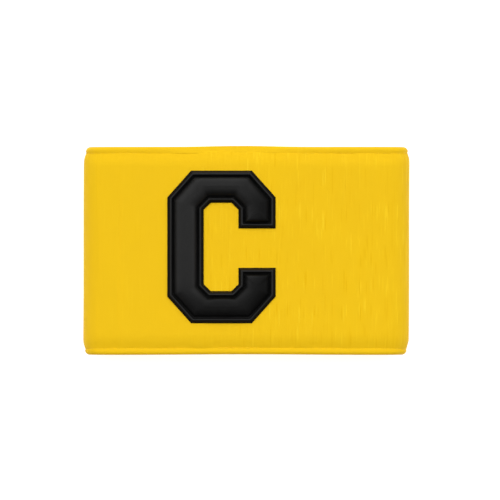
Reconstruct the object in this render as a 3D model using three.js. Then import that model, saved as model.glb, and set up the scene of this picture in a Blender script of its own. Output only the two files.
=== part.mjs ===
// A football captain's armband: a wide closed loop of thick elastic knit, lying flattened on its back,
// with a rolled hem sewn round each of its two edges and a padded block letter C on its face.
// Millimetres. X runs from fold to fold, Y from hem to hem, and Z up from the surface that it lies on.
// The origin is on that surface, under the middle of the band.
import * as THREE from "three";

// Driving sizes of the band
const BAND_HEIGHT = 80; // hem edge to hem edge
const FLAT_WIDTH = 125; // fold to fold, lying flat
const LYING_HEIGHT = 17; // surface to the top of the cloth
const CLOTH_WALL = 2;
const SHOULDER_RADIUS = 30; // the wide curve between the flat face and each fold
const SHOULDER_TURN = THREE.MathUtils.degToRad(16);

// The rolled hems, which draw the cloth in
const HEM_HEIGHT = 2.8;
const HEM_THICKNESS = 2.6;
const HEM_INSET = 0.75; // how far the hem's outside lies inside the cloth's
const DRAW_IN_LENGTH = 4.2; // stretch of cloth that slopes down to the hem
const DRAW_IN_DEPTH = 0.9;
const CLOTH_EDGE_ROUND = 0.35;
const SEAM_GAP = 0.3;

// The joining seam inside the middle of the back: one end of the cloth laps over the other
const LAP_WIDTH = 9;
const LAP_RISE = 0.8;
const LAP_SLOPE = 0.6;

// How far the front's two edges bow up the face, and half the width of each bow
const TOP_BOW = { rise: 0.36, centre: -2, halfWidth: 27 };
const BOTTOM_BOW = { rise: 0.22, centre: 0, halfWidth: 50 };

// The block letter
const LETTER_WIDTH = 41.4;
const LETTER_HEIGHT = 58.5;
const STEM_WIDTH = 13.9;
const BAR_HEIGHT = 12.3;
const TERMINAL_WIDTH = 14.2;
const UPPER_TERMINAL = 22.1; // from the letter's top to the end of its upper arm
const LOWER_TERMINAL = 21.2; // from the letter's foot to the end of its lower arm
const OUTER_CHAMFER = { across: 9.1, along: 10.2 };
const INNER_CHAMFER = 2.65;
const LETTER_OFFSET = { x: -9.5, y: 1.4 }; // the letter's centre from the band's
const LETTER_SEAT_GAP = 0.2;
const BACKING_SHEET = 0.5;
const RIM_WIDTH = 1.8;
const RIM_HEIGHT = 1.3; // above the backing's underside
const GROOVE_WIDTH = 0.5; // between the rim and the foot of the padded face
const PAD_SEAT_GAP = 0.2;
const PAD_HEIGHT = 1.8;
const PAD_ROUNDING = 3; // how far in the pad is still rising
const PAD_SPINE_SHARE = 0.9; // the most of a stroke's half width that the rounding takes

// Facets
const FOLD_STEPS = 16;
const SHOULDER_STEPS = 3;
const FACE_STEPS = 14;
const DRAW_IN_STEPS = 6;
const HEM_SIDES = 16;
const RIM_STEPS = 5;

const cloth = new THREE.MeshStandardMaterial({ color: 0xf2c21e, roughness: 0.85, metalness: 0 });
const hemCloth = new THREE.MeshStandardMaterial({ color: 0xf3c223, roughness: 0.8, metalness: 0 });
const fauxLeather = new THREE.MeshStandardMaterial({ color: 0x1d1d1c, roughness: 0.45, metalness: 0 });

function part(name, geometry, material) {
  const mesh = new THREE.Mesh(geometry, material);
  mesh.name = name;
  return mesh;
}

function bufferGeometry(points, triangles) {
  const geometry = new THREE.BufferGeometry();
  geometry.setAttribute("position", new THREE.Float32BufferAttribute(points.flat(), 3));
  geometry.setIndex(triangles.flat());
  geometry.computeVertexNormals();
  return geometry;
}

// The loop's outside, seen along Y, as stations that run clockwise from the left end of the face.
// Each has its place, its outward normal and how much it belongs to the face.
function loopStations() {
  const turned = Math.cos(SHOULDER_TURN);
  const foldRadius = (LYING_HEIGHT - SHOULDER_RADIUS * (1 - turned)) / (1 + turned);
  const foldCentre = FLAT_WIDTH / 2 - foldRadius;
  const shoulderCentre = foldCentre - (SHOULDER_RADIUS - foldRadius) * Math.sin(SHOULDER_TURN);
  const stations = [];
  const add = (x, z, normalX, normalZ, onFace, lap = 0) =>
    stations.push({ x, z, normalX, normalZ, onFace, lap });
  const addArc = (centreX, centreZ, radius, from, to, steps, onFace) => {
    for (let i = 1; i <= steps; i++) {
      const angle = from + ((to - from) * i) / steps;
      const [normalX, normalZ] = [Math.sin(angle), Math.cos(angle)];
      add(centreX + radius * normalX, centreZ + radius * normalZ, normalX, normalZ, onFace);
    }
  };
  for (let i = 0; i <= FACE_STEPS; i++)
    add(shoulderCentre * ((2 * i) / FACE_STEPS - 1), LYING_HEIGHT, 0, 1, 1);
  const shoulderZ = LYING_HEIGHT - SHOULDER_RADIUS;
  addArc(shoulderCentre, shoulderZ, SHOULDER_RADIUS, 0, SHOULDER_TURN, SHOULDER_STEPS, 1);
  addArc(foldCentre, foldRadius, foldRadius, SHOULDER_TURN, Math.PI, FOLD_STEPS, 0);
  for (const [x, lap] of [
    [LAP_WIDTH / 2 + LAP_SLOPE, 0],
    [LAP_WIDTH / 2, LAP_RISE],
    [-LAP_WIDTH / 2, LAP_RISE],
    [-LAP_WIDTH / 2 - LAP_SLOPE, 0],
    [-foldCentre, 0],
  ])
    add(x, 0, 0, -1, 0, lap);
  addArc(-foldCentre, foldRadius, foldRadius, Math.PI, 2 * Math.PI - SHOULDER_TURN, FOLD_STEPS, 0);
  addArc(-shoulderCentre, shoulderZ, SHOULDER_RADIUS, -SHOULDER_TURN, 0, SHOULDER_STEPS, 1);
  stations.pop(); // the last one is the first one again
  return stations;
}

function bowAt(bow, x) {
  const share = Math.min(1, Math.abs(x - bow.centre) / bow.halfWidth);
  return (bow.rise * (1 + Math.cos(Math.PI * share))) / 2;
}

// The top edge's ends start lower by its bow's rise, so that the bow just reaches the band's full height.
function bowedY(y, x, onFace) {
  const shareUp = y / BAND_HEIGHT + 0.5;
  const bow = onFace * THREE.MathUtils.lerp(bowAt(BOTTOM_BOW, x), bowAt(TOP_BOW, x), shareUp);
  return y - TOP_BOW.rise * shareUp + bow;
}

// A closed wall swept round the loop. The profile is a list of { depth, y, inside }, where depth is measured
// in from the loop's outside. It runs clockwise, drawn with y to the right and the loop's outside on top.
function sweepRoundLoop(profile) {
  const stations = loopStations();
  const points = stations.flatMap((at) =>
    profile.map(({ depth, y, inside }) => {
      const inward = depth + (inside ? at.lap : 0);
      return [at.x - at.normalX * inward, bowedY(y, at.x, at.onFace), at.z - at.normalZ * inward];
    }),
  );
  const [rows, columns] = [stations.length, profile.length];
  const index = (row, column) => (row % rows) * columns + (column % columns);
  const triangles = [];
  for (let row = 0; row < rows; row++)
    for (let column = 0; column < columns; column++) {
      const [a, b] = [index(row, column), index(row, column + 1)];
      const [c, d] = [index(row + 1, column + 1), index(row + 1, column)];
      triangles.push([a, d, c], [a, c, b]);
    }
  return bufferGeometry(points, triangles);
}

// The knitted wall between the two hems. It keeps its thickness where the hems draw it in.
function bandCloth() {
  const edge = BAND_HEIGHT / 2 - HEM_HEIGHT - SEAM_GAP;
  const outside = [];
  for (let i = 0; i <= DRAW_IN_STEPS; i++) {
    const share = i / DRAW_IN_STEPS;
    outside.push({
      depth: (DRAW_IN_DEPTH * (1 + Math.cos(Math.PI * share))) / 2,
      y: -edge + CLOTH_EDGE_ROUND + share * DRAW_IN_LENGTH,
    });
  }
  const deepest = { depth: DRAW_IN_DEPTH + CLOTH_EDGE_ROUND, y: -edge };
  const lower = [deepest, ...outside];
  const upper = lower.map(({ depth, y }) => ({ depth, y: -y })).reverse();
  const insideEnd = { depth: DRAW_IN_DEPTH + CLOTH_WALL - CLOTH_EDGE_ROUND, inside: true };
  const insideOf = ({ depth, y }) => ({ depth: depth + CLOTH_WALL, y, inside: true });
  const inside = outside.map(insideOf);
  return sweepRoundLoop([
    ...lower,
    ...upper,
    { ...insideEnd, y: edge },
    ...inside.map(({ depth, y }) => ({ depth, y: -y, inside: true })),
    ...[...inside].reverse(),
    { ...insideEnd, y: -edge },
  ]);
}

// A rolled hem of oval section. side is 1 for the top edge and -1 for the bottom one.
function hem(side) {
  const [halfHeight, halfThickness] = [HEM_HEIGHT / 2, HEM_THICKNESS / 2];
  const profile = [];
  for (let i = 0; i < HEM_SIDES; i++) {
    const angle = (2 * Math.PI * i) / HEM_SIDES;
    profile.push({
      depth: HEM_INSET + halfThickness * (1 - Math.cos(angle)),
      y: side * (BAND_HEIGHT / 2 - halfHeight) + halfHeight * Math.sin(angle),
    });
  }
  return sweepRoundLoop(profile);
}

// The letter's outline about its own centre, anticlockwise from the left end of its foot.
function letterOutline() {
  const [right, top] = [LETTER_WIDTH / 2, LETTER_HEIGHT / 2];
  const [left, foot] = [-right, -top];
  const { across, along } = OUTER_CHAMFER;
  const counterLeft = left + STEM_WIDTH;
  const counterRight = right - TERMINAL_WIDTH;
  const counterTop = top - BAR_HEIGHT;
  const counterFoot = foot + BAR_HEIGHT;
  return [
    [left + across, foot],
    [right - across, foot],
    [right, foot + along],
    [right, foot + LOWER_TERMINAL],
    [counterRight, foot + LOWER_TERMINAL],
    [counterRight, counterFoot + INNER_CHAMFER],
    [counterRight - INNER_CHAMFER, counterFoot],
    [counterLeft + INNER_CHAMFER, counterFoot],
    [counterLeft, counterFoot + INNER_CHAMFER],
    [counterLeft, counterTop - INNER_CHAMFER],
    [counterLeft + INNER_CHAMFER, counterTop],
    [counterRight - INNER_CHAMFER, counterTop],
    [counterRight, counterTop - INNER_CHAMFER],
    [counterRight, top - UPPER_TERMINAL],
    [right, top - UPPER_TERMINAL],
    [right, top - along],
    [right - across, top],
    [left + across, top],
    [left, top - along],
    [left, foot + along],
  ].map(([x, y]) => new THREE.Vector2(x + LETTER_OFFSET.x, y + LETTER_OFFSET.y));
}

// An anticlockwise outline moved in by a distance, with mitred corners.
function insetOutline(outline, distance) {
  return outline.map((point, i) => {
    const before = outline[(i + outline.length - 1) % outline.length];
    const after = outline[(i + 1) % outline.length];
    const inward = (from, to) => {
      const along = to.clone().sub(from).normalize();
      return new THREE.Vector2(-along.y, along.x);
    };
    const [first, second] = [inward(before, point), inward(point, after)];
    const mitre = first.clone().add(second);
    return point.clone().addScaledVector(mitre, distance / (1 + first.dot(second)));
  });
}

// A solid with one outline at several levels, each { inset, z }, from its underside to its top.
function stackedOutlines(outline, levels) {
  const rings = levels.map(({ inset, z }) => ({ ring: insetOutline(outline, inset), z }));
  const points = rings.flatMap(({ ring, z }) => ring.map(({ x, y }) => [x, y, z]));
  const count = outline.length;
  const triangles = [];
  for (let level = 0; level + 1 < levels.length; level++)
    for (let i = 0; i < count; i++) {
      const [a, b] = [level * count + i, level * count + ((i + 1) % count)];
      const [c, d] = [b + count, a + count];
      triangles.push([a, b, c], [a, c, d]);
    }
  const last = (levels.length - 1) * count;
  for (const [a, b, c] of THREE.ShapeUtils.triangulateShape(rings[0].ring, []))
    triangles.push([c, b, a]);
  for (const [a, b, c] of THREE.ShapeUtils.triangulateShape(rings.at(-1).ring, []))
    triangles.push([a + last, b + last, c + last]);
  return bufferGeometry(points, triangles);
}

// The backing sheet, with a round rim raised along its whole outline.
function letterEdging() {
  const underside = LYING_HEIGHT + LETTER_SEAT_GAP;
  const rimRise = RIM_HEIGHT - BACKING_SHEET;
  const levels = [{ inset: 0, z: underside }];
  for (let i = 0; i <= RIM_STEPS; i++) {
    const angle = (Math.PI * i) / RIM_STEPS;
    levels.push({
      inset: (RIM_WIDTH * (1 - Math.cos(angle))) / 2,
      z: underside + BACKING_SHEET + rimRise * Math.sin(angle),
    });
  }
  return stackedOutlines(letterOutline(), levels);
}

// How the padded face swells up from the groove, as shares of its rounding and of its height.
const PAD_LEVELS = [
  { inward: 0, up: 0 },
  { inward: 0, up: 0.3 },
  { inward: 0.14, up: 0.62 },
  { inward: 0.38, up: 0.84 },
  { inward: 0.68, up: 0.96 },
  { inward: 1, up: 1 },
];

// The rounding stops short of the middle of the narrowest stroke, so that the top keeps an outline.
function letterPad() {
  const underside = LYING_HEIGHT + LETTER_SEAT_GAP + BACKING_SHEET + PAD_SEAT_GAP;
  const margin = RIM_WIDTH + GROOVE_WIDTH;
  const narrowestStroke = Math.min(STEM_WIDTH, BAR_HEIGHT, TERMINAL_WIDTH);
  const rounding = Math.min(PAD_ROUNDING, PAD_SPINE_SHARE * (narrowestStroke / 2 - margin));
  const levels = PAD_LEVELS.map(({ inward, up }) => ({
    inset: margin + rounding * inward,
    z: underside + PAD_HEIGHT * up,
  }));
  return stackedOutlines(letterOutline(), levels);
}

const armband = new THREE.Group();
armband.add(
  part("band_cloth", bandCloth(), cloth),
  part("top_hem", hem(1), hemCloth),
  part("bottom_hem", hem(-1), hemCloth),
  part("letter_edging", letterEdging(), fauxLeather),
  part("letter_pad", letterPad(), fauxLeather),
);

export default armband;
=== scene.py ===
# Dresses the armband's solids: a loop of elastic knit with two rolled hems, stitches, and a padded letter.
# Metres, in the frame of the solids: X from fold to fold, Y up the letter, Z up from the floor.
import math
from collections import namedtuple

import bmesh
import bpy
import numpy as np
from bpy.props import FloatProperty, FloatVectorProperty, IntProperty, PointerProperty
from bpy.types import Operator, Panel, PropertyGroup
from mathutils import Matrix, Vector


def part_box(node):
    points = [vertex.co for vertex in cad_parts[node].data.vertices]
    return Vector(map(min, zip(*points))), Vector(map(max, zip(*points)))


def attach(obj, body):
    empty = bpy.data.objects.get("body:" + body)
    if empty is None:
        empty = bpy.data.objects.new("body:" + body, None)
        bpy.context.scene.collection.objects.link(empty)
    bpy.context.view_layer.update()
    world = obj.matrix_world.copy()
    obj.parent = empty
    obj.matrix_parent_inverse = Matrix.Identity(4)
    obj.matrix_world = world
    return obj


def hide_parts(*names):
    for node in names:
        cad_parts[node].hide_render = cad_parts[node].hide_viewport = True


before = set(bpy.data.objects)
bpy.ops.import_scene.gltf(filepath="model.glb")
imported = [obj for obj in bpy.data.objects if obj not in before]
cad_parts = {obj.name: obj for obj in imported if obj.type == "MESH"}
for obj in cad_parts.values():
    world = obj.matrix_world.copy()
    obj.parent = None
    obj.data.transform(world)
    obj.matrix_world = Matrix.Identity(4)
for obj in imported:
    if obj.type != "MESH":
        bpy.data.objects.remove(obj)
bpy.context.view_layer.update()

bl_info = {
    "name": "Captain armband",
    "version": (1, 0, 0),
    "blender": (4, 5, 0),
    "location": "View3D > Sidebar > Armband",
    "description": "Dresses the armband's solids in knit, stitches and padded faux leather",
    "category": "Add Mesh",
}

BODY = "root"
MM = 0.001

# Places read from the solids
CLOTH_LOW, CLOTH_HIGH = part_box("band_cloth")
HALF_WIDTH = (CLOTH_HIGH.x - CLOTH_LOW.x) / 2
LYING_HEIGHT = CLOTH_HIGH.z
HALF_BAND = -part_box("bottom_hem")[0].y
LETTER_LOW, LETTER_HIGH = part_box("letter_edging")
PAD_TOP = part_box("letter_pad")[1].z

# How fine the meshes are, round the loop, along Y and round the letter
SHOWN_STEP = 0.62 * MM
HIDDEN_STEP = 1.3 * MM
OUTER_STEP = 0.95 * MM
INNER_STEP = 1.7 * MM
SEAM_STEP = 0.4 * MM
INNER_SEAM_STEP = 1.5 * SEAM_STEP
SEAM_REACH = 8 * MM  # how much of the knit beside each seam has the fine steps
HEM_TURN_STEPS, HEM_FALL_STEPS, HEM_SEAM_STEPS = 9, 8, 4
LETTER_STEP = 0.8 * MM
RIM_STEPS = 8
PAD_STEPS = 18
PAD_CROWDING = 1.6  # how much closer the pad's levels lie at its shoulder; 1 is evenly

# The knit's edges; each bow has its middle and half width along X
EDGE_ROUND = 0.3 * MM
TOP_BOW = (-2 * MM, 27 * MM)
BOTTOM_BOW = (0.0, 50 * MM)
UPPER_FALL, LOWER_FALL = 2.0, 1.85  # powers of the knit's slope to each hem; 1 is straight

# Above the letter the upper hem lies flush with the knit
FLUSH_PLACE = (-7.5 * MM, 24 * MM, 3)  # middle and half width along X, and how flat its top is
FLUSH_MOST = 0.98
FLUSH_DEPTH = 0.04 * MM  # how much deeper than the drawn-in knit the flush hem lies
FLUSH_SLOPE = 0.27  # how steeply it falls from the seam to its edge

# Dents beside the seams and waves in the cloth; each pair is the least and the most
DENT_PLACE = 1.3 * MM  # from the hem to the dents' middle
DENT_HALF_WIDTH = (1.3, 2.4)  # in millimetres
DENT_HALF_HEIGHT = (0.9, 1.5)  # in millimetres
DENT_STRENGTH = (0.3, 1)
DENT_SPACING = (0.55, 1.45)  # shares of the usual spacing
WAVES = 7
WAVES_THAT_ADD_UP = 3  # as many as make the wave height
WAVE_ROUND = (14, 45)  # length round the loop, in millimetres
WAVE_ALONG = (40, 120)  # length along Y, in millimetres
HEM_WAVE = 0.04 * MM
SHORT_HEM_WAVE, LONG_HEM_WAVE = 190, 83  # radians a metre

# Where the rows of stitches run, and their beads of thread
HEM_SEAM_PLACE = 0.12 * MM  # from the hem's inner side towards its edge
LAP_SEAM_PLACE = 0.36  # from the lap's middle, as a share of its width
LAP_SEAM_END = 0.4  # share of the draw-in that is left unsewn
LAP_SEAM_POINTS = 60
STITCH_SIZE = (0.9, 1.08)  # least and most, as shares of the usual size
BEAD_SIDES, BEAD_RINGS = 8, 7

# The letter, whose sides are counted anticlockwise from its foot
UPWARD_SIDES = (3, 6, 16)  # those that face up the letter
TIGHT_SIDES = (*UPWARD_SIDES, 13)  # the same and the end of the upper arm
TIGHT_BLEND = 2  # how many short pieces the tightness fades over, each way
THINNING_START = 0.0  # along Y, where the padding starts to thin towards the foot
THINNING_POWER = 1.5
PAD_REACH = 0.97  # share of half a stroke that the padded face's slope takes
SHEET_EDGE, PAD_FOOT, RIM_FOOT = 0.2, 0.5, 0.6  # heights as shares of the backing's thickness

# The knit's pattern; noise runs from 0 to 1
KNIT_MAP = "Knit"
LOOP_SLANT = 1.3
LOOP_HEIGHT = (0.3, 0.7)  # how much each loop's height changes, and its mean
SLUBS_START = (-25 * MM, 2 * MM)  # along X, where the slubs grow clearer
QUIET_SIDE = 0.2  # how clear they are before that
CLUSTERS = (0.4, 0.56)  # blotches where slubs start to gather and where they all do
QUIET_CLUSTER = 0.45
BUSY_COLUMNS = (0.3, 0.8)  # chance that a column has, where it grows busier and where it is busy
QUIET_COLUMN = 0.25
COLUMN_SPREAD = 60.0  # in slub lengths, over which the columns' slubs start
LIGHT_SLUB = (0.58, 0.76)  # noise where a light slub starts and where it is whole
DARK_SLUB = (0.42, 0.24)
DARK_STRENGTH = 0.65
SLUB_TONE, BLOTCH_TONE, KNIT_TONE = 0.62, 0.25, 0.28
DARK_KNIT = (0.94, 0.87, 0.1)  # shares of the knit's red, green and blue where it is darkest
LIGHT_KNIT = (1.12, 1.22, 4.0)  # the same where it is lightest, and paler
SHADED_KNIT = 0.93  # the same between two columns, up to a share of the loops' height, as painted shade
SHADED_HEIGHT = 0.6
USUAL_NOISE = (0.3, 0.7)  # what noise mostly keeps between
KNIT_ROUGHNESS = (0.58, 0.7)
BLOTCH_SCALE = 60.0
SLUB_RELIEF = 0.03 * MM

# The thread and the faux leather
THREAD_TONES = (0.92, 1.05)
THREAD_ROUGHNESS = (0.6, 0.75)
TWIST_SCALE = 900.0
TWIST_RELIEF = 0.03 * MM
LEATHER_TONES = (0.8, 1.25)
GRAIN_SCALE = 2200.0
GRAIN_RELIEF = 0.012 * MM
CLOUD_SCALE = 260.0
CLOUD_ROUGHNESS = 0.04
# The matt edge's gloss and roughness; kept off the sides that face up the letter, it paints shade on the
# other sides
MATT_GLOSS, MATT_ROUGHNESS = 0.1, 0.7
PAINTED_SHADE_ENDS = (-4 * MM, 8 * MM)  # along X, where the gloss falls towards the arms' ends as painted shade
PAINTED_SHADE_FOOT = (-10 * MM, -22 * MM)  # along Y, the same towards the foot
FOOT_SHADE_SHARE = 0.75  # share of the painted shade that the foot has

# The stage
FLOOR_GAP = 0.1 * MM
CEILING = (0.1, 0.8)  # upward part of a direction where the walls end and the ceiling is whole
BRIGHT_SIDE = Vector((0.3, 1, 0)).normalized()
DARK_SIDE = Vector((0.03, -0.72, 0.69)).normalized()
DARK_SPREAD = (0.55, 0.93)  # how far a direction points there, where it darkens and is darkest
KEY_PLACE = Vector((0, 1.7, 2.1))
KEY_SIZE = 2.4
VIEW_REACH = 20


def length(name, description, default):
    """A size that shows in the panel."""
    return FloatProperty(name=name, description=description, default=default, unit="LENGTH", precision=5)


def share(name, description, default, top=1.0):
    """A plain number from 0 up that shows in the panel."""
    return FloatProperty(
        name=name, description=description, default=default, min=0, max=top, subtype="FACTOR",
    )


def colour(name, description, default):
    """A colour that shows in the panel."""
    return FloatVectorProperty(name=name, description=description, default=default, size=3, subtype="COLOR")


class BandSettings(PropertyGroup):
    """The flattened loop of knit and its two hems."""

    wall: length("Wall", "Thickness of the knit", 2 * MM)
    shoulder_radius: length("Shoulder radius", "Wide curve between the face and each fold", 30 * MM)
    shoulder_turn: FloatProperty(
        name="Shoulder turn", description="Angle that the wide curve turns", default=math.radians(16),
        subtype="ANGLE",
    )
    draw_in_depth: length("Draw-in depth", "How far the hems pull the knit in", 1.0 * MM)
    draw_in_length: length("Draw-in length", "Stretch of knit that slopes to a hem", 5.4 * MM)
    draw_in_length_at_folds: length("Draw-in length at the folds", "The same at the two folds", 3.4 * MM)
    skew: length("Skew", "How far the upper edge leans right and the lower edge left", 0.22 * MM)
    hem_height: length("Hem height", "Height of each rolled hem", 2.6 * MM)
    hem_thickness: length("Hem thickness", "Thickness of each rolled hem", 2.6 * MM)
    hem_inset: length("Hem inset", "How far the hem's outside lies inside the knit's", 0.75 * MM)
    hem_crest: length("Hem crest", "Distance from the hem's edge to its highest line", 1.15 * MM)
    hem_drop: length("Hem drop", "How far the hem falls from its crest to the seam", 0.3 * MM)
    corner: length("Corner", "Radius of the hem's corners at the two folds", 1.8 * MM)
    hem_cover: length("Hem cover", "How far the knit's edge runs into the hem", 0.6 * MM)
    top_bow: length("Top bow", "How far the front's upper edge rises at its middle", 0.36 * MM)
    bottom_bow: length("Bottom bow", "How far the front's lower edge rises at its middle", 0.22 * MM)
    lap_width: length("Lap width", "Width of the joining seam inside the back", 9 * MM)
    lap_rise: length("Lap rise", "Height of the joining seam", 0.8 * MM)
    pucker_depth: length("Pucker depth", "Depth of the small dents beside the seams", 0.14 * MM)
    pucker_spacing: length("Pucker spacing", "Usual distance between two dents", 11 * MM)
    wave_height: length("Wave height", "Height of the slow waves in the face", 0.09 * MM)
    seed: IntProperty(name="Seed", description="Seed of the dents and waves", default=11)


class KnitSettings(PropertyGroup):
    """The colour and the stitch of the knit."""

    body_colour: colour("Knit", "Colour of the band", (0.84, 0.516, 0.0045))
    hem_colour: colour("Hem", "Colour of the hems", (0.84, 0.518, 0.0047))
    thread_colour: colour("Thread", "Colour of the stitches", (0.83, 0.516, 0.006))
    wale: length("Wale", "Width of one column of the knit", 0.45 * MM)
    course: length("Course", "Height of one row of the knit", 0.44 * MM)
    relief: length("Relief", "Height of the knitted loops", 0.035 * MM)
    slub_length: length("Slub length", "Usual distance between two upright slubs in a column", 10 * MM)


class StitchSettings(PropertyGroup):
    """The thread that sews the hems and the joining seam."""

    stitch: length("Stitch", "Length of one stitch", 2.3 * MM)
    gap: length("Gap", "Gap between two stitches", 0.45 * MM)
    thread: length("Thread", "Thickness of the thread", 0.34 * MM)
    sink: share("Sink", "Share of the thread that is sunk in the knit", 0.65)


class LetterSettings(PropertyGroup):
    """The padded block letter."""

    height: length("Height", "From the letter's foot to its top", 58.35 * MM)
    stem: length("Stem", "Width of the stem", 13.9 * MM)
    bar: length("Bar", "Height of the two bars", 12.3 * MM)
    terminal: length("Terminal", "Width of the two arms' ends", 14.2 * MM)
    upper_arm: length("Upper arm", "From the top of the letter to the end of its upper arm", 22.1 * MM)
    lower_arm: length("Lower arm", "From the foot of the letter to the end of its lower arm", 21.2 * MM)
    chamfer_across: length("Chamfer across", "Outer corners, measured along X", 9.1 * MM)
    chamfer_along: length("Chamfer along", "Outer corners, measured along Y", 10.2 * MM)
    inner_chamfer: length("Inner chamfer", "Corners of the open middle", 2.65 * MM)
    sheet: length("Sheet", "Thickness of the backing", 0.5 * MM)
    margin: length("Margin", "Width of the flat backing outside the rim's bead", 0.4 * MM)
    matt_edge: length("Matt edge", "Width of the matt part along the outline", 0.9 * MM)
    rim: length("Rim", "From the outline to the foot of the bead's inner side", 2.1 * MM)
    rim_crest: length("Rim crest", "From the outline to the bead's highest line", 1.36 * MM)
    groove: length("Groove", "Width of the groove inside the rim", 0.33 * MM)
    shoulder: length("Shoulder", "How fast the padded face levels out", 0.95 * MM)
    shoulder_height: length("Shoulder height", "How much of the face's height is its shoulder", 1.6 * MM)
    tightness: share("Tightness", "How much tighter the shoulder is at the arms' ends and tops", 0.7)
    thinning: length("Thinning", "How much thinner the padding is at the letter's foot", 0.4 * MM)
    crown: length("Crown", "How far the padded face rises towards the middle of a stroke", 0.22 * MM)
    sunk: length("Sunk", "How far the backing is pressed into the knit", 0.35 * MM)
    leather_colour: colour("Leather", "Colour of the faux leather", (0.0035, 0.0035, 0.0034))
    gloss: share("Gloss", "How much light the faux leather's surface throws back", 0.215)
    roughness: share("Roughness", "How soft its reflections are", 0.42)
    # Painted shade: the face's gloss is lowered towards the arms' ends and the foot, so they read darker
    painted_shade: share("Dulling", "How much duller it is at the arms' ends and the foot", 0.75)


class StageSettings(PropertyGroup):
    """The floor, the light and the camera."""

    floor_colour: colour("Floor", "Colour of the floor", (0.6, 0.6, 0.6))
    glow: share("Glow", "Light that comes up through the floor", 0.72)
    floor_side: length("Floor side", "Side of the floor", 9.0)
    frame_side: length("Frame side", "Side of the picture where the band lies", 191.9 * MM)
    distance: length("Distance", "Height of the camera", 2.2)
    right: length("Right", "How far the camera stands right of the band's middle", 1.4 * MM)
    up: length("Up", "How far the camera stands above the band's middle", 0.15 * MM)
    sky: share("Sky", "Brightness of the room overhead", 1.92, 5)
    horizon: share("Horizon", "How bright the walls are beside the ceiling", 0.05)
    dark_side: share("Dark side", "How dark the room is overhead towards the lower edge", 0.95)
    lean: share("Lean", "How much brighter the room is beyond the upper edge", 0.15)
    key: share("Key", "Power of the main light in watts", 6, 1000)


# Each station's place, outward direction, whether it is on the face, the lap's rise there and its distance
# round the loop, and the distance once round
Stations = namedtuple("Stations", "x z normal_x normal_z face lap girth round")


def loop_stations(band):
    """The loop's outside seen along Y, clockwise from the left end of the face."""
    turn, shoulder = band.shoulder_turn, band.shoulder_radius
    fold = (LYING_HEIGHT - shoulder * (1 - math.cos(turn))) / (1 + math.cos(turn))
    fold_x = HALF_WIDTH - fold
    shoulder_x = fold_x - (shoulder - fold) * math.sin(turn)
    lap_edge = band.lap_width / 2
    lap_foot = lap_edge + band.lap_rise
    rows = []

    def straight(x_from, x_to, z, normal_z, face, step, lap_from=0.0, lap_to=0.0):
        """Stations on a straight stretch, where the lap's rise may change smoothly."""
        count = max(2, round(abs(x_to - x_from) / step))
        for at in np.arange(count) / count:
            lap = lap_from + (lap_to - lap_from) * at * at * (3 - 2 * at)
            rows.append((x_from + (x_to - x_from) * at, z, 0.0, normal_z, face, lap))

    def arc(centre_x, centre_z, radius, turn_from, turn_to, face):
        """Stations on an arc; a turn of 0 points up."""
        count = round(radius * abs(turn_to - turn_from) / SHOWN_STEP)
        for angle in turn_from + (turn_to - turn_from) * np.arange(count) / count:
            across, up = math.sin(angle), math.cos(angle)
            rows.append((centre_x + radius * across, centre_z + radius * up, across, up, face, 0.0))

    straight(-shoulder_x, shoulder_x, LYING_HEIGHT, 1.0, 1.0, SHOWN_STEP)
    arc(shoulder_x, LYING_HEIGHT - shoulder, shoulder, 0, turn, 1.0)
    arc(fold_x, fold, fold, turn, math.pi, 0.0)
    straight(fold_x, lap_foot, 0, -1.0, 0.0, HIDDEN_STEP)
    straight(lap_foot, lap_edge, 0, -1.0, 0.0, SEAM_STEP / 2, 0, band.lap_rise)
    straight(lap_edge, -lap_edge, 0, -1.0, 0.0, HIDDEN_STEP, band.lap_rise, band.lap_rise)
    straight(-lap_edge, -lap_foot, 0, -1.0, 0.0, SEAM_STEP / 2, band.lap_rise, 0)
    straight(-lap_foot, -fold_x, 0, -1.0, 0.0, HIDDEN_STEP)
    arc(-fold_x, fold, fold, math.pi, 2 * math.pi - turn, 0.0)
    arc(-shoulder_x, LYING_HEIGHT - shoulder, shoulder, -turn, 0, 1.0)

    x, z, normal_x, normal_z, face, lap = (column[:, None] for column in np.array(rows).T)
    steps = np.hypot(np.roll(x, -1) - x, np.roll(z, -1) - z)
    return Stations(x, z, normal_x, normal_z, face, lap, np.cumsum(steps)[:, None] - steps, steps.sum())


def smooth_bump(x, centre, half_width, power=2):
    """1 at the centre, falling smoothly to nothing; a higher power gives it a flatter top."""
    return np.exp(-(np.abs((x - centre) / half_width) ** power))


def cosine_bump(x, centre, half_width):
    """1 at the centre, falling to nothing at half_width."""
    return (1 + np.cos(math.pi * np.clip(np.abs(x - centre) / half_width, 0, 1))) / 2


def flushness(stations):
    """How far the upper hem lies flush with the knit: nearly 1 above the letter and 0 elsewhere."""
    return FLUSH_MOST * stations.face * smooth_bump(stations.x, *FLUSH_PLACE)


def bowed(band, stations, y):
    """Y moved as the front's two edges bow; the upper edge's ends start lower by its bow."""
    share_up = y / (2 * HALF_BAND) + 0.5
    top = band.top_bow * cosine_bump(stations.x, *TOP_BOW)
    bottom = band.bottom_bow * cosine_bump(stations.x, *BOTTOM_BOW)
    return y - band.top_bow * share_up + stations.face * (bottom + (top - bottom) * share_up)


def drawn_in(band, stations, y):
    """How deep the knit's outside lies at y, pulled in by the two hems."""
    flat = stations.normal_z**2
    reach = band.draw_in_length_at_folds + flat * (band.draw_in_length - band.draw_in_length_at_folds)
    depth = band.hem_inset + flat * (band.draw_in_depth - band.hem_inset)
    left = np.clip(1 - (HALF_BAND - band.hem_height - np.abs(y)) / reach, 0, None)
    return depth * left ** np.where(y > 0, UPPER_FALL, LOWER_FALL)


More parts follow.
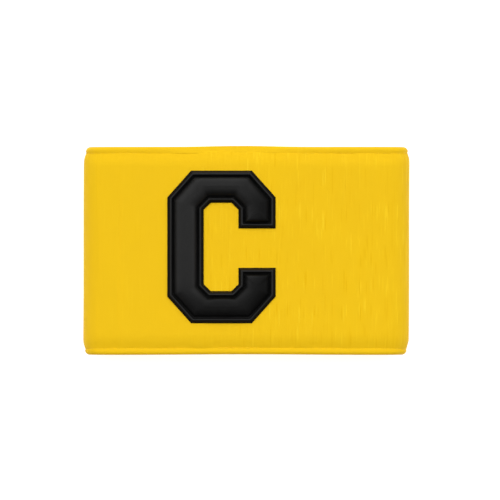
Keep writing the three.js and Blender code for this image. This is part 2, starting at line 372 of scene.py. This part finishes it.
def dents(band, stations, y):
    """Small dents beside the two seams, and slow waves over the face."""
    random = np.random.default_rng(band.seed)
    depth = np.zeros(np.broadcast(stations.girth, y).shape)
    for side in (-1, 1):
        seam = side * (HALF_BAND - band.hem_height - DENT_PLACE)
        at = random.uniform(0, band.pucker_spacing)
        while at < stations.round:
            wide = random.uniform(*DENT_HALF_WIDTH) * MM
            tall = random.uniform(*DENT_HALF_HEIGHT) * MM
            dent = smooth_bump(stations.girth, at, wide) * smooth_bump(y, seam, tall)
            depth += band.pucker_depth * random.uniform(*DENT_STRENGTH) * dent
            at += band.pucker_spacing * random.uniform(*DENT_SPACING)
    for _ in range(WAVES):
        length_x = random.uniform(*WAVE_ROUND) * MM
        length_y = random.uniform(*WAVE_ALONG) * MM
        phase = random.uniform(0, 2 * math.pi)
        wave = np.sin(2 * math.pi * (stations.girth / length_x + y / length_y) + phase)
        depth += stations.face * band.wave_height / WAVES_THAT_ADD_UP * wave
    return depth


def add_mesh(name, points, faces, material):
    """A smooth object with its place in its vertices."""
    mesh = bpy.data.meshes.new(name)
    mesh.from_pydata([tuple(point) for point in points], [], faces)
    mesh.materials.append(material)
    mesh.validate()
    mesh.shade_smooth()
    made = bpy.data.objects.new(name, mesh)
    bpy.context.scene.collection.objects.link(made)
    return made


def sweep(name, stations, depth, y, skew, material):
    """A closed wall round the loop. depth and y have a row for each station and a column for each point of
    the section, which runs clockwise with y to the right and the loop's outside on top."""
    rows, columns = depth.shape
    y = np.broadcast_to(y, depth.shape)
    x = stations.x - stations.normal_x * depth + skew * (y / HALF_BAND) ** 3
    points = np.stack((x, y, stations.z - stations.normal_z * depth), -1)
    row, column = (index.ravel() for index in np.meshgrid(np.arange(rows), np.arange(columns), indexing="ij"))
    next_row, next_column = (row + 1) % rows, (column + 1) % columns
    corners = ((row, column), (next_row, column), (next_row, next_column), (row, next_column))
    faces = np.stack([r * columns + c for r, c in corners], -1)
    made = add_mesh(name, points.reshape(-1, 3), faces.tolist(), material)

    # The knit follows this map: the distance round the loop and the distance round the section
    middle = points[0]
    across = np.concatenate(([0], np.cumsum(np.linalg.norm(np.roll(middle, -1, 0) - middle, axis=1))))
    girth = np.append(stations.girth, stations.round)
    u = np.stack([girth[row + step] for step in (0, 1, 1, 0)], -1)
    v = np.stack([across[column + step] for step in (0, 0, 1, 1)], -1)
    layer = made.data.uv_layers.new(name=KNIT_MAP)
    layer.data.foreach_set("uv", np.stack((u, v), -1).astype(np.float32).ravel())
    return made


def uneven_steps(edge, near_edge, fine, coarse):
    """Values from -edge to edge, fine within near_edge of either end."""
    inner = edge - near_edge
    ends = np.linspace(-edge, -inner, round(near_edge / fine), endpoint=False)
    middle = np.linspace(-inner, inner, round(2 * inner / coarse), endpoint=False)
    return np.concatenate((ends, middle, -np.flip(np.append(ends, -inner))[:-1], [edge]))


def make_band(band, material):
    """The knit between the two hems, with its edges inside them."""
    stations = loop_stations(band)
    edge = HALF_BAND - band.hem_height + band.hem_cover
    outside = uneven_steps(edge, SEAM_REACH, SEAM_STEP, OUTER_STEP)[None]
    inside = uneven_steps(edge, SEAM_REACH, INNER_SEAM_STEP, INNER_STEP)[None, ::-1]
    outer = drawn_in(band, stations, outside) + dents(band, stations, outside)
    inner = drawn_in(band, stations, inside) + band.wall + stations.lap
    right_end = (outer[:, -1:] + EDGE_ROUND, inner[:, :1] - EDGE_ROUND)
    left_end = (inner[:, -1:] - EDGE_ROUND, outer[:, :1] + EDGE_ROUND)
    depth = np.concatenate((outer, *right_end, inner, *left_end), 1)
    end = np.array([[edge + EDGE_ROUND / 2] * 2])
    y = bowed(band, stations, np.concatenate((outside, end, inside, -end), 1))
    return sweep("band", stations, depth, y, band.skew, material)


def hem_section(band):
    """The rolled hem cut across, from its edge over the outside to the seam and back along the inside:
    distances from the edge, and depths below the knit's outside."""
    turn = np.linspace(0, math.pi / 2, HEM_TURN_STEPS + 1)
    past = np.linspace(0, 1, HEM_FALL_STEPS + 1)[1:]
    half = band.hem_thickness / 2
    middle = band.hem_inset + half
    rolled = band.hem_crest * (1 - np.cos(turn))
    falling = band.hem_crest + past * (band.hem_height - band.hem_crest)
    inward = np.concatenate((rolled, falling))
    outward = np.concatenate((half * np.sin(turn), half - band.hem_drop * past**2))
    seam = np.linspace(outward[-1], -outward[-1], HEM_SEAM_STEPS + 1)[1:-1]
    distance = np.concatenate((inward, np.full(len(seam), band.hem_height), inward[:0:-1]))
    return distance[None], (middle - np.concatenate((outward, seam, -outward[:0:-1])))[None]


def make_hem(name, side, band, material):
    """A rolled hem; side is 1 for the upper edge and -1 for the lower one."""
    stations = loop_stations(band)
    distance, depth = hem_section(band)
    middle = band.hem_inset + band.hem_thickness / 2
    outside = depth < middle
    towards_edge = np.clip(1 - distance / band.corner, 0, 1)
    corner = np.minimum(band.hem_inset + band.corner * (1 - np.sqrt(1 - towards_edge**2)), middle)
    bent = (1 - stations.normal_z**2) * outside
    depth = depth + bent * (np.maximum(depth, corner) - depth)
    depth = depth + stations.lap * np.clip(2 * (depth - middle) / band.hem_thickness, 0, 1)
    flush = flushness(stations) * (side > 0)
    if side > 0:
        slope = band.draw_in_depth + FLUSH_DEPTH + FLUSH_SLOPE * (band.hem_height - distance)
        depth = depth + flush * outside * (np.maximum(depth, slope) - depth)
        distance, depth = distance[:, ::-1], depth[:, ::-1]
    short_wave = np.sin(stations.girth * SHORT_HEM_WAVE + side)
    long_wave = np.sin(stations.girth * LONG_HEM_WAVE + 2 * side)
    uneven = HEM_WAVE * (short_wave + long_wave) * (1 - flush)
    y = bowed(band, stations, side * (HALF_BAND - distance))
    return sweep(name, stations, depth + uneven, y, band.skew, material)


def seam_path(points, closed):
    """A line of edges for the stitches to follow, until they are made."""
    count = len(points)
    mesh = bpy.data.meshes.new("seam")
    edges = [(i, (i + 1) % count) for i in range(count if closed else count - 1)]
    mesh.from_pydata([tuple(point) for point in points], edges, [])
    made = bpy.data.objects.new("seam", mesh)
    bpy.context.scene.collection.objects.link(made)
    return made


def seam_lines(band, sew):
    """The lines that the stitches follow, outside and inside each hem and in two rows on the lap, and whether
    each is closed."""
    stations = loop_stations(band)
    above = sew.thread * (0.5 - sew.sink)
    lines = []
    for side in (-1, 1):
        y = np.array([[side * (HALF_BAND - band.hem_height + HEM_SEAM_PLACE)]])
        cloth = drawn_in(band, stations, y)
        buried = sew.thread * flushness(stations) * (side > 0)
        for depth in (cloth - above + buried, cloth + band.wall + stations.lap + above):
            x = stations.x - stations.normal_x * depth + band.skew * (y / HALF_BAND) ** 3
            points = np.concatenate((x, bowed(band, stations, y), stations.z - stations.normal_z * depth), 1)
            lines.append((points, True))
    reach = HALF_BAND - band.hem_height - band.draw_in_length * LAP_SEAM_END
    y = np.linspace(-reach, reach, LAP_SEAM_POINTS)
    top = band.wall + band.lap_rise + above
    for x in (-LAP_SEAM_PLACE * band.lap_width, LAP_SEAM_PLACE * band.lap_width):
        lines.append((np.stack((x + 0 * y, y, top + 0 * y), 1), False))
    return lines


def add_node(nodes, kind, inputs=None, **settings):
    """A node with its settings made and its inputs set to values or joined to sockets."""
    node = nodes.new(kind)
    for name, value in settings.items():
        setattr(node, name, value)
    for key, value in (inputs or {}).items():
        if isinstance(value, bpy.types.NodeSocket):
            nodes.id_data.links.new(value, node.inputs[key])
        else:
            node.inputs[key].default_value = value
    return node


def stitch_nodes():
    """Nodes that lay one stitch after another along the edges that they are given."""
    tree = bpy.data.node_groups.new("Stitches along a seam", "GeometryNodeTree")
    tree.interface.new_socket(name="Line", in_out="INPUT", socket_type="NodeSocketGeometry")
    kinds = {"Stitch": "Float", "Gap": "Float", "Thread": "Float", "Seed": "Int", "Material": "Material"}
    sockets = {}
    for name, kind in kinds.items():
        item = tree.interface.new_socket(name=name, in_out="INPUT", socket_type=f"NodeSocket{kind}")
        sockets[name] = item.identifier
    tree.interface.new_socket(name="Stitches", in_out="OUTPUT", socket_type="NodeSocketGeometry")

    nodes = tree.nodes
    given = add_node(nodes, "NodeGroupInput").outputs
    pitch = add_node(nodes, "ShaderNodeMath", {0: given["Stitch"], 1: given["Gap"]}, operation="ADD")
    line = add_node(nodes, "GeometryNodeMeshToCurve", {"Mesh": given["Line"]})
    spaced = {"Curve": line.outputs[0], "Length": pitch.outputs[0]}
    evenly = add_node(nodes, "GeometryNodeResampleCurve", spaced, mode="LENGTH")
    ball = {"Segments": BEAD_SIDES, "Rings": BEAD_RINGS, "Radius": 0.5}
    bead = add_node(nodes, "GeometryNodeMeshUVSphere", ball)
    thick = given["Thread"]
    size = add_node(nodes, "ShaderNodeCombineXYZ", {"X": given["Stitch"], "Y": thick, "Z": thick})
    tangent = add_node(nodes, "GeometryNodeInputTangent")
    along = add_node(nodes, "FunctionNodeAlignRotationToVector", {"Vector": tangent.outputs[0]}, axis="X")
    sizes = {2: STITCH_SIZE[0], 3: STITCH_SIZE[1], "Seed": given["Seed"]}
    uneven = add_node(nodes, "FunctionNodeRandomValue", sizes, data_type="FLOAT")
    resized = {0: size.outputs[0], "Scale": uneven.outputs[1]}
    scale = add_node(nodes, "ShaderNodeVectorMath", resized, operation="SCALE")
    placed = add_node(nodes, "GeometryNodeInstanceOnPoints", {
        "Points": evenly.outputs[0], "Instance": bead.outputs["Mesh"], "Rotation": along.outputs[0],
        "Scale": scale.outputs[0],
    })
    solid = add_node(nodes, "GeometryNodeRealizeInstances", {"Geometry": placed.outputs[0]})
    smooth = add_node(nodes, "GeometryNodeSetShadeSmooth", {"Geometry": solid.outputs[0]})
    finish = {"Geometry": smooth.outputs[0], "Material": given["Material"]}
    dressed = add_node(nodes, "GeometryNodeSetMaterial", finish)
    add_node(nodes, "NodeGroupOutput", {"Stitches": dressed.outputs[0]})
    return tree, sockets


def make_stitches(band, sew, material):
    """All the stitches as one mesh."""
    tree, sockets = stitch_nodes()
    whole = bmesh.new()
    for seed, (points, closed) in enumerate(seam_lines(band, sew)):
        line = seam_path(points, closed)
        modifier = line.modifiers.new("Stitches", "NODES")
        modifier.node_group = tree
        values = {
            "Stitch": sew.stitch, "Gap": sew.gap, "Thread": sew.thread, "Seed": seed, "Material": material,
        }
        for name, value in values.items():
            modifier[sockets[name]] = value
        bpy.context.view_layer.update()
        evaluated = line.evaluated_get(bpy.context.evaluated_depsgraph_get())
        row = bpy.data.meshes.new_from_object(evaluated)
        whole.from_mesh(row)
        bpy.data.meshes.remove(row)
        bpy.data.objects.remove(line)
    mesh = bpy.data.meshes.new("stitches")
    whole.to_mesh(mesh)
    whole.free()
    mesh.materials.append(material)
    mesh.shade_smooth()
    made = bpy.data.objects.new("stitches", mesh)
    bpy.context.scene.collection.objects.link(made)
    return made


def letter_corners(letter):
    """The letter's outline, anticlockwise from the left end of its foot."""
    left, right = LETTER_LOW.x, LETTER_HIGH.x
    foot, top = LETTER_LOW.y, LETTER_LOW.y + letter.height
    across, along, inner = letter.chamfer_across, letter.chamfer_along, letter.inner_chamfer
    open_left, open_right = left + letter.stem, right - letter.terminal
    open_foot, open_top = foot + letter.bar, top - letter.bar
    return np.array([
        (left + across, foot),
        (right - across, foot),
        (right, foot + along),
        (right, foot + letter.lower_arm),
        (open_right, foot + letter.lower_arm),
        (open_right, open_foot + inner),
        (open_right - inner, open_foot),
        (open_left + inner, open_foot),
        (open_left, open_foot + inner),
        (open_left, open_top - inner),
        (open_left + inner, open_top),
        (open_right - inner, open_top),
        (open_right, open_top - inner),
        (open_right, top - letter.upper_arm),
        (right, top - letter.upper_arm),
        (right, top - along),
        (right - across, top),
        (left + across, top),
        (left, top - along),
        (left, foot + along),
    ])


def inset(corners, distance):
    """An anticlockwise outline moved in by a distance, with mitred corners."""
    along = np.roll(corners, -1, 0) - corners
    along /= np.linalg.norm(along, axis=1)[:, None]
    after = np.stack((-along[:, 1], along[:, 0]), 1)
    before = np.roll(after, 1, 0)
    return corners + distance * (before + after) / (1 + (before * after).sum(1))[:, None]


def side_counts(corners):
    """How many short pieces each side of an outline is cut into."""
    sides = np.linalg.norm(np.roll(corners, -1, 0) - corners, axis=1)
    return np.maximum(1, np.round(sides / LETTER_STEP)).astype(int)


def ring(corners, distance):
    """The inset outline with each side cut into short pieces, as many at every distance."""
    starts = inset(corners, distance)
    ends = np.roll(starts, -1, 0)
    shares = [np.arange(count)[:, None] / count for count in side_counts(corners)]
    return np.concatenate([start + (end - start) * at for start, end, at in zip(starts, ends, shares)])


def stacked(name, corners, levels, material):
    """A solid with the inset outline at each level (inset, z), from its underside to its top. z is one
    height or one for each point."""
    count = side_counts(corners).sum()
    rings = [np.column_stack((ring(corners, distance), np.broadcast_to(z, count))) for distance, z in levels]
    i = np.arange(count)
    following = (i + 1) % count
    faces = []
    for low in range(0, (len(levels) - 1) * count, count):
        high = low + count
        faces += np.stack((low + i, low + following, high + following, high + i), 1).tolist()
    faces.append(i[::-1].tolist())
    faces.append(((len(levels) - 1) * count + i).tolist())
    made = add_mesh(name, np.concatenate(rings), faces, material)
    shape = bmesh.new()
    shape.from_mesh(made.data)
    bmesh.ops.triangulate(shape, faces=[face for face in shape.faces if len(face.verts) > 4])
    shape.to_mesh(made.data)
    shape.free()
    return made


def make_edging(letter, leather, matt):
    """The backing with its raised rim, pressed a little into the knit. The rim's outer slope is matt on all
    sides but those that face up the letter: a matt cut edge, and painted shade on the sides that face away
    from the light."""
    crest = LETTER_HIGH.z
    bottom = LETTER_LOW.z + letter.sheet * RIM_FOOT
    levels = [(0, LYING_HEIGHT - letter.sunk), (0, LETTER_LOW.z + letter.sheet * SHEET_EDGE)]
    for i in range(-RIM_STEPS, RIM_STEPS + 1):
        away = abs(i) / RIM_STEPS
        foot = letter.margin if i < 0 else letter.rim
        distance = letter.rim_crest + (foot - letter.rim_crest) * away
        levels.append((distance, crest - (crest - bottom) * away**2))
    corners = letter_corners(letter)
    made = stacked("letter_border", corners, levels, leather)
    made.data.materials.append(matt)
    # Painted shade: the matt edge goes on the outer slope of every side that doesn't face up the letter
    outer_levels = sum(distance < letter.matt_edge for distance, _ in levels)
    sides = np.repeat(np.arange(len(corners)), side_counts(corners))
    for face, side in zip(made.data.polygons, np.tile(sides, outer_levels)):
        face.material_index = int(side not in UPWARD_SIDES)
    return made


def make_pad(letter, material):
    """The padded face, with a gentle crown and a steep shoulder, which is tighter on some sides."""
    corners = letter_corners(letter)
    tight = np.repeat(np.isin(np.arange(len(corners)), TIGHT_SIDES).astype(float), side_counts(corners))
    blend = range(-TIGHT_BLEND, TIGHT_BLEND + 1)
    tight = sum(np.roll(tight, step) for step in blend) / len(blend)
    shoulder = letter.shoulder * (1 - letter.tightness * tight)
    foot = letter.rim + letter.groove
    half_stroke = letter.bar / 2 - foot
    levels = [(foot, LETTER_LOW.z + letter.sheet * PAD_FOOT)]
    for i in range(PAD_STEPS + 1):
        inward = PAD_REACH * half_stroke * (i / PAD_STEPS) ** PAD_CROWDING
        y = ring(corners, foot + inward)[:, 1]
        towards_foot = np.clip((THINNING_START - y) / (THINNING_START - LETTER_LOW.y), 0, 1)
        below = letter.shoulder_height * np.exp(-inward / shoulder)
        below += letter.crown * (1 - inward / half_stroke) ** 2
        below += letter.thinning * towards_foot**THINNING_POWER
        levels.append((foot + inward, PAD_TOP - below))
    return stacked("letter_cushion", corners, levels, material)


def new_material(name, **values):
    """A material with its shader's own values set; gives the material, its nodes and the shader."""
    material = bpy.data.materials.new(name)
    material.use_nodes = True
    nodes = material.node_tree.nodes
    shader = nodes["Principled BSDF"]
    for key, value in values.items():
        shader.inputs[key.replace("_", " ")].default_value = value
    return material, nodes, shader


def link_shader(nodes, shader, **values):
    """Joins the values that vary over the surface to the shader."""
    for key, value in values.items():
        nodes.id_data.links.new(value, shader.inputs[key.replace("_", " ")])


def math_node(nodes, operation, *values):
    """The result of one sum."""
    return add_node(nodes, "ShaderNodeMath", dict(enumerate(values)), operation=operation).outputs[0]


def mixed(nodes, factor, first, second):
    """A colour between two others."""
    node = add_node(nodes, "ShaderNodeMix", {0: factor, 6: first, 7: second}, data_type="RGBA")
    return node.outputs[2]


def tinted(base, by):
    """A colour made lighter or darker by one number, or by one each for red, green and blue."""
    return [*(np.array(base) * by), 1]


def noise(nodes, place, scale, detail):
    """Soft noise."""
    inputs = {"Vector": place, "Scale": scale, "Detail": detail}
    return add_node(nodes, "ShaderNodeTexNoise", inputs).outputs["Fac"]


def object_place(nodes):
    """A point's place on the object, in metres."""
    return add_node(nodes, "ShaderNodeTexCoord").outputs["Object"]


def bump(nodes, height, distance, **more):
    """The surface's direction, tilted by a height."""
    inputs = {"Height": height, "Distance": distance, **more}
    return add_node(nodes, "ShaderNodeBump", inputs).outputs[0]


def ranged(nodes, value, low, high, to_low, to_high):
    """A value spread from one range to another, smoothly and no further."""
    inputs = {"Value": value, "From Min": low, "From Max": high, "To Min": to_low, "To Max": to_high}
    node = add_node(nodes, "ShaderNodeMapRange", inputs, interpolation_type="SMOOTHSTEP")
    return node.outputs[0]


def scaled(nodes, vector, across, up):
    """The knit's map, counted in steps of the two lengths."""
    inputs = {0: vector, 1: (1 / across, 1 / up, 1)}
    return add_node(nodes, "ShaderNodeVectorMath", inputs, operation="MULTIPLY").outputs[0]


def knit_loops(nodes, loops):
    """The height of the knit's slanting loops; loops counts its columns and rows."""
    from_middle = math_node(nodes, "SUBTRACT", math_node(nodes, "FRACT", loops["X"]), 0.5)
    beside = math_node(nodes, "ABSOLUTE", from_middle)
    leg = math_node(nodes, "SINE", math_node(nodes, "MULTIPLY", beside, 2 * math.pi))
    slanted = math_node(nodes, "ADD", loops["Y"], math_node(nodes, "MULTIPLY", beside, LOOP_SLANT))
    row = math_node(nodes, "SINE", math_node(nodes, "MULTIPLY", slanted, 2 * math.pi))
    return math_node(nodes, "MULTIPLY", leg, math_node(nodes, "MULTIPLY_ADD", row, *LOOP_HEIGHT))


def knit_slubs(nodes, knit, loops, blotches, slubbed):
    """Upright slubs, above 0 where they are light and below it where they are dark. Each column has slubs of
    its own, which start at their own heights."""
    column = math_node(nodes, "FLOOR", loops["X"])
    chance = add_node(nodes, "ShaderNodeTexWhiteNoise", {"W": column}, noise_dimensions="1D").outputs["Value"]
    start = math_node(nodes, "MULTIPLY", chance, COLUMN_SPREAD)
    height = math_node(nodes, "MULTIPLY_ADD", loops["Y"], knit.course / knit.slub_length, start)
    strip = add_node(nodes, "ShaderNodeCombineXYZ", {"X": start, "Y": height}).outputs[0]
    uneven = noise(nodes, strip, 1.0, 0.0)
    light = ranged(nodes, uneven, *LIGHT_SLUB, 0.0, 1.0)
    dark = ranged(nodes, uneven, *DARK_SLUB, 0.0, DARK_STRENGTH)

    across = add_node(nodes, "ShaderNodeSeparateXYZ", {0: object_place(nodes)}).outputs["X"]
    gathered = ranged(nodes, blotches, *CLUSTERS, QUIET_CLUSTER, 1.0)
    sided = ranged(nodes, across, *SLUBS_START, QUIET_SIDE, 1.0)
    busy = ranged(nodes, chance, *BUSY_COLUMNS, QUIET_COLUMN * slubbed, slubbed)
    strength = math_node(nodes, "MULTIPLY", math_node(nodes, "MULTIPLY", gathered, sided), busy)
    return math_node(nodes, "MULTIPLY", math_node(nodes, "SUBTRACT", light, dark), strength)


def knit_material(name, knit, base, slubbed):
    """Plain knit: columns of slanting loops, with upright slubs that are lighter or darker. slubbed is how
    clear they are, from 0 to 1."""
    material, nodes, shader = new_material(
        name, Specular_IOR_Level=0.08, Sheen_Weight=0.1, Sheen_Roughness=0.3, Sheen_Tint=(1, 0.86, 0.5, 1),
    )
    place = add_node(nodes, "ShaderNodeUVMap", uv_map=KNIT_MAP).outputs[0]
    counted = scaled(nodes, place, knit.wale, knit.course)
    loops = add_node(nodes, "ShaderNodeSeparateXYZ", {0: counted}).outputs
    loop = knit_loops(nodes, loops)
    blotches = noise(nodes, place, BLOTCH_SCALE, 2.0)
    slubs = knit_slubs(nodes, knit, loops, blotches, slubbed)

    plain = math_node(nodes, "MULTIPLY_ADD", blotches, BLOTCH_TONE, KNIT_TONE)
    tone = math_node(nodes, "MULTIPLY_ADD", slubs, SLUB_TONE, plain)
    body = mixed(nodes, tone, tinted(base, DARK_KNIT), tinted(base, LIGHT_KNIT))
    # Painted shade between the columns of loops, where the knit dips
    raised = ranged(nodes, loop, 0.0, SHADED_HEIGHT, 0.0, 1.0)
    uneven = bump(nodes, slubs, SLUB_RELIEF, Strength=1.0)
    link_shader(
        nodes, shader, Base_Color=mixed(nodes, raised, tinted(base, SHADED_KNIT), body),
        Roughness=ranged(nodes, blotches, *USUAL_NOISE, *KNIT_ROUGHNESS),
        Normal=bump(nodes, loop, knit.relief, Strength=1.0, Normal=uneven),
    )
    return material


def thread_material(knit):
    """Twisted thread, a little smoother than the knit."""
    material, nodes, shader = new_material("thread", Specular_IOR_Level=0.2, Sheen_Weight=0.05)
    inputs = {"Vector": object_place(nodes), "Scale": TWIST_SCALE, "Distortion": 1.5}
    twist = add_node(nodes, "ShaderNodeTexWave", inputs, bands_direction="DIAGONAL").outputs["Fac"]
    dark, light = (tinted(knit.thread_colour, tone) for tone in THREAD_TONES)
    link_shader(
        nodes, shader, Base_Color=mixed(nodes, twist, dark, light),
        Roughness=ranged(nodes, twist, 0, 1, *THREAD_ROUGHNESS), Normal=bump(nodes, twist, TWIST_RELIEF),
    )
    return material


def leather_material(name, letter, gloss, roughness, painted_shade=0.0):
    """Black faux leather with a fine grain; gloss and roughness make it satin or matt, and painted_shade
    lowers the gloss towards the arms' ends and the foot, which paints shade there."""
    material, nodes, shader = new_material(name, Specular_IOR_Level=gloss)
    place = object_place(nodes)
    # Painted shade: lower gloss towards the arms' ends and the foot
    if painted_shade:
        along = add_node(nodes, "ShaderNodeSeparateXYZ", {0: place}).outputs
        ends = ranged(nodes, along["X"], *PAINTED_SHADE_ENDS, gloss, gloss * (1 - painted_shade))
        foot = ranged(nodes, along["Y"], *PAINTED_SHADE_FOOT, 1.0, 1 - FOOT_SHADE_SHARE * painted_shade)
        link_shader(nodes, shader, Specular_IOR_Level=math_node(nodes, "MULTIPLY", ends, foot))
    inputs = {"Vector": place, "Scale": GRAIN_SCALE}
    grain = add_node(nodes, "ShaderNodeTexVoronoi", inputs).outputs["Distance"]
    cloud = noise(nodes, place, CLOUD_SCALE, 3.0)
    dark, light = (tinted(letter.leather_colour, tone) for tone in LEATHER_TONES)
    rough = ranged(nodes, cloud, *USUAL_NOISE, roughness - CLOUD_ROUGHNESS, roughness + CLOUD_ROUGHNESS)
    link_shader(
        nodes, shader, Base_Color=mixed(nodes, cloud, dark, light), Roughness=rough,
        Normal=bump(nodes, grain, GRAIN_RELIEF),
    )
    return material


def settle(piece, slot, *nodes):
    """Makes a piece ride with the armband and stand for its solids; slot is not used."""
    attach(piece, BODY)
    if nodes:
        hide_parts(*nodes)
    return piece


class ARMBAND_OT_make_band(Operator):
    """Makes the knitted loop"""

    bl_idname = "armband.make_band"
    bl_label = "Make the band"

    def execute(self, context):
        knit = context.scene.armband_knit
        material = knit_material("elastic knit", knit, knit.body_colour, 1.0)
        settle(make_band(context.scene.armband, material), "knit", "band_cloth")
        return {"FINISHED"}


class ARMBAND_OT_make_hems(Operator):
    """Makes the two rolled hems"""

    bl_idname = "armband.make_hems"
    bl_label = "Make the hems"

    def execute(self, context):
        band, knit = context.scene.armband, context.scene.armband_knit
        material = knit_material("rolled knit", knit, knit.hem_colour, 0.3)
        hems = [
            settle(make_hem(name, side, band, material), "hem_knit", node)
            for name, side, node in (("upper_hem", 1, "top_hem"), ("lower_hem", -1, "bottom_hem"))
        ]
        loop = loop_stations(band).round - math.pi * band.wall
        return {"FINISHED"}


class ARMBAND_OT_make_stitches(Operator):
    """Sews the hems and the joining seam"""

    bl_idname = "armband.make_stitches"
    bl_label = "Make the stitches"

    def execute(self, context):
        scene = context.scene
        thread = thread_material(scene.armband_knit)
        settle(make_stitches(scene.armband, scene.armband_stitch, thread), "hem_knit")
        return {"FINISHED"}


class ARMBAND_OT_make_letter(Operator):
    """Makes the letter's edging and its padded face"""

    bl_idname = "armband.make_letter"
    bl_label = "Make the letter"

    def execute(self, context):
        letter = context.scene.armband_letter
        # The padded face's gloss carries painted shade towards the arms' ends and the foot
        face = leather_material("grained leather", letter, letter.gloss, letter.roughness, letter.painted_shade)
        rim = leather_material("rim leather", letter, letter.gloss, letter.roughness)
        # A matt cut edge, which also paints shade on the rim's sides that don't face up the letter
        matt = leather_material("matt edge", letter, MATT_GLOSS, MATT_ROUGHNESS)
        border = settle(make_edging(letter, rim, matt), "faux_leather", "letter_edging")
        pad = settle(make_pad(letter, face), "faux_leather", "letter_pad")
        return {"FINISHED"}


def make_floor(stage):
    """A pale floor just under the band."""
    material = new_material(
        "floor", Base_Color=(*stage.floor_colour, 1), Roughness=0.9, Specular_IOR_Level=0.0,
        Emission_Color=(1, 1, 1, 1), Emission_Strength=stage.glow,
    )[0]
    half = stage.floor_side / 2
    corners = [(x * half, y * half, -FLOOR_GAP) for x, y in ((-1, -1), (1, -1), (1, 1), (-1, 1))]
    add_mesh("floor", corners, [(0, 1, 2, 3)], material)


def facing(nodes, towards, side):
    """How much a direction points to a side, from -1 to 1."""
    inputs = {0: towards, 1: side}
    return add_node(nodes, "ShaderNodeVectorMath", inputs, operation="DOT_PRODUCT").outputs["Value"]


def make_light(stage):
    """A room that is brighter beyond the upper edge and darker short of the lower one, and one soft lamp."""
    world = bpy.data.worlds.new("room")
    bpy.context.scene.world = world
    world.use_nodes = True
    nodes = world.node_tree.nodes
    nodes.clear()
    towards = add_node(nodes, "ShaderNodeTexCoord").outputs["Generated"]
    height = add_node(nodes, "ShaderNodeSeparateXYZ", {0: towards}).outputs["Z"]
    overhead = ranged(nodes, height, *CEILING, stage.sky * stage.horizon, stage.sky)
    leaning = math_node(nodes, "MULTIPLY_ADD", facing(nodes, towards, BRIGHT_SIDE), stage.lean, 1.0)
    shaded = ranged(nodes, facing(nodes, towards, DARK_SIDE), *DARK_SPREAD, 1.0, 1 - stage.dark_side)
    strength = math_node(nodes, "MULTIPLY", math_node(nodes, "MULTIPLY", overhead, leaning), shaded)
    light = add_node(nodes, "ShaderNodeBackground", {"Color": (1, 1, 1, 1), "Strength": strength})
    add_node(nodes, "ShaderNodeOutputWorld", {"Surface": light.outputs[0]})

    lamp = bpy.data.lights.new("key", "AREA")
    lamp.shape = "DISK"
    lamp.size = KEY_SIZE
    lamp.energy = stage.key
    made = bpy.data.objects.new("key", lamp)
    made.location = KEY_PLACE
    made.rotation_euler = KEY_PLACE.to_track_quat("Z", "Y").to_euler()
    bpy.context.scene.collection.objects.link(made)


def make_camera(stage):
    """A camera straight above, turned so that the letter reads upright."""
    data = bpy.data.cameras.new("camera")
    fold_height = LYING_HEIGHT / 2
    data.lens = data.sensor_width * (stage.distance - fold_height) / stage.frame_side
    data.clip_end = VIEW_REACH
    camera = bpy.data.objects.new("camera", data)
    camera.location = (stage.right, stage.up, stage.distance)
    bpy.context.scene.collection.objects.link(camera)
    bpy.context.scene.camera = camera


class ARMBAND_OT_make_stage(Operator):
    """Makes the floor, the light and the camera"""

    bl_idname = "armband.make_stage"
    bl_label = "Make the stage"

    def execute(self, context):
        scene = context.scene
        scene.view_settings.view_transform = "Standard"
        make_floor(scene.armband_stage)
        make_light(scene.armband_stage)
        make_camera(scene.armband_stage)
        return {"FINISHED"}


OPERATORS = (
    ARMBAND_OT_make_stage,
    ARMBAND_OT_make_band,
    ARMBAND_OT_make_hems,
    ARMBAND_OT_make_stitches,
    ARMBAND_OT_make_letter,
)


class ARMBAND_PT_pieces(Panel):
    """Lists what can be made"""

    bl_label = "Armband"
    bl_idname = "ARMBAND_PT_pieces"
    bl_space_type = "VIEW_3D"
    bl_region_type = "UI"
    bl_category = "Armband"

    def draw(self, context):
        for operator in OPERATORS:
            self.layout.operator(operator.bl_idname)
        for name in SETTINGS:
            settings = getattr(context.scene, name)
            box = self.layout.box()
            for key in settings.bl_rna.properties.keys():
                if key not in ("rna_type", "name"):
                    box.prop(settings, key)


SETTINGS = {
    "armband": BandSettings,
    "armband_knit": KnitSettings,
    "armband_stitch": StitchSettings,
    "armband_letter": LetterSettings,
    "armband_stage": StageSettings,
}
CLASSES = (*SETTINGS.values(), *OPERATORS, ARMBAND_PT_pieces)


def register():
    """Makes the classes and their settings known to Blender."""
    for item in CLASSES:
        bpy.utils.register_class(item)
    for name, group in SETTINGS.items():
        setattr(bpy.types.Scene, name, PointerProperty(type=group))


def unregister():
    """Takes the settings and the classes out again."""
    for name in SETTINGS:
        delattr(bpy.types.Scene, name)
    for item in reversed(CLASSES):
        bpy.utils.unregister_class(item)


def main():
    """Makes every piece in order."""
    register()
    for operator in OPERATORS:
        category, name = operator.bl_idname.split(".")
        getattr(getattr(bpy.ops, category), name)()


if __name__ == "__main__":
    main()
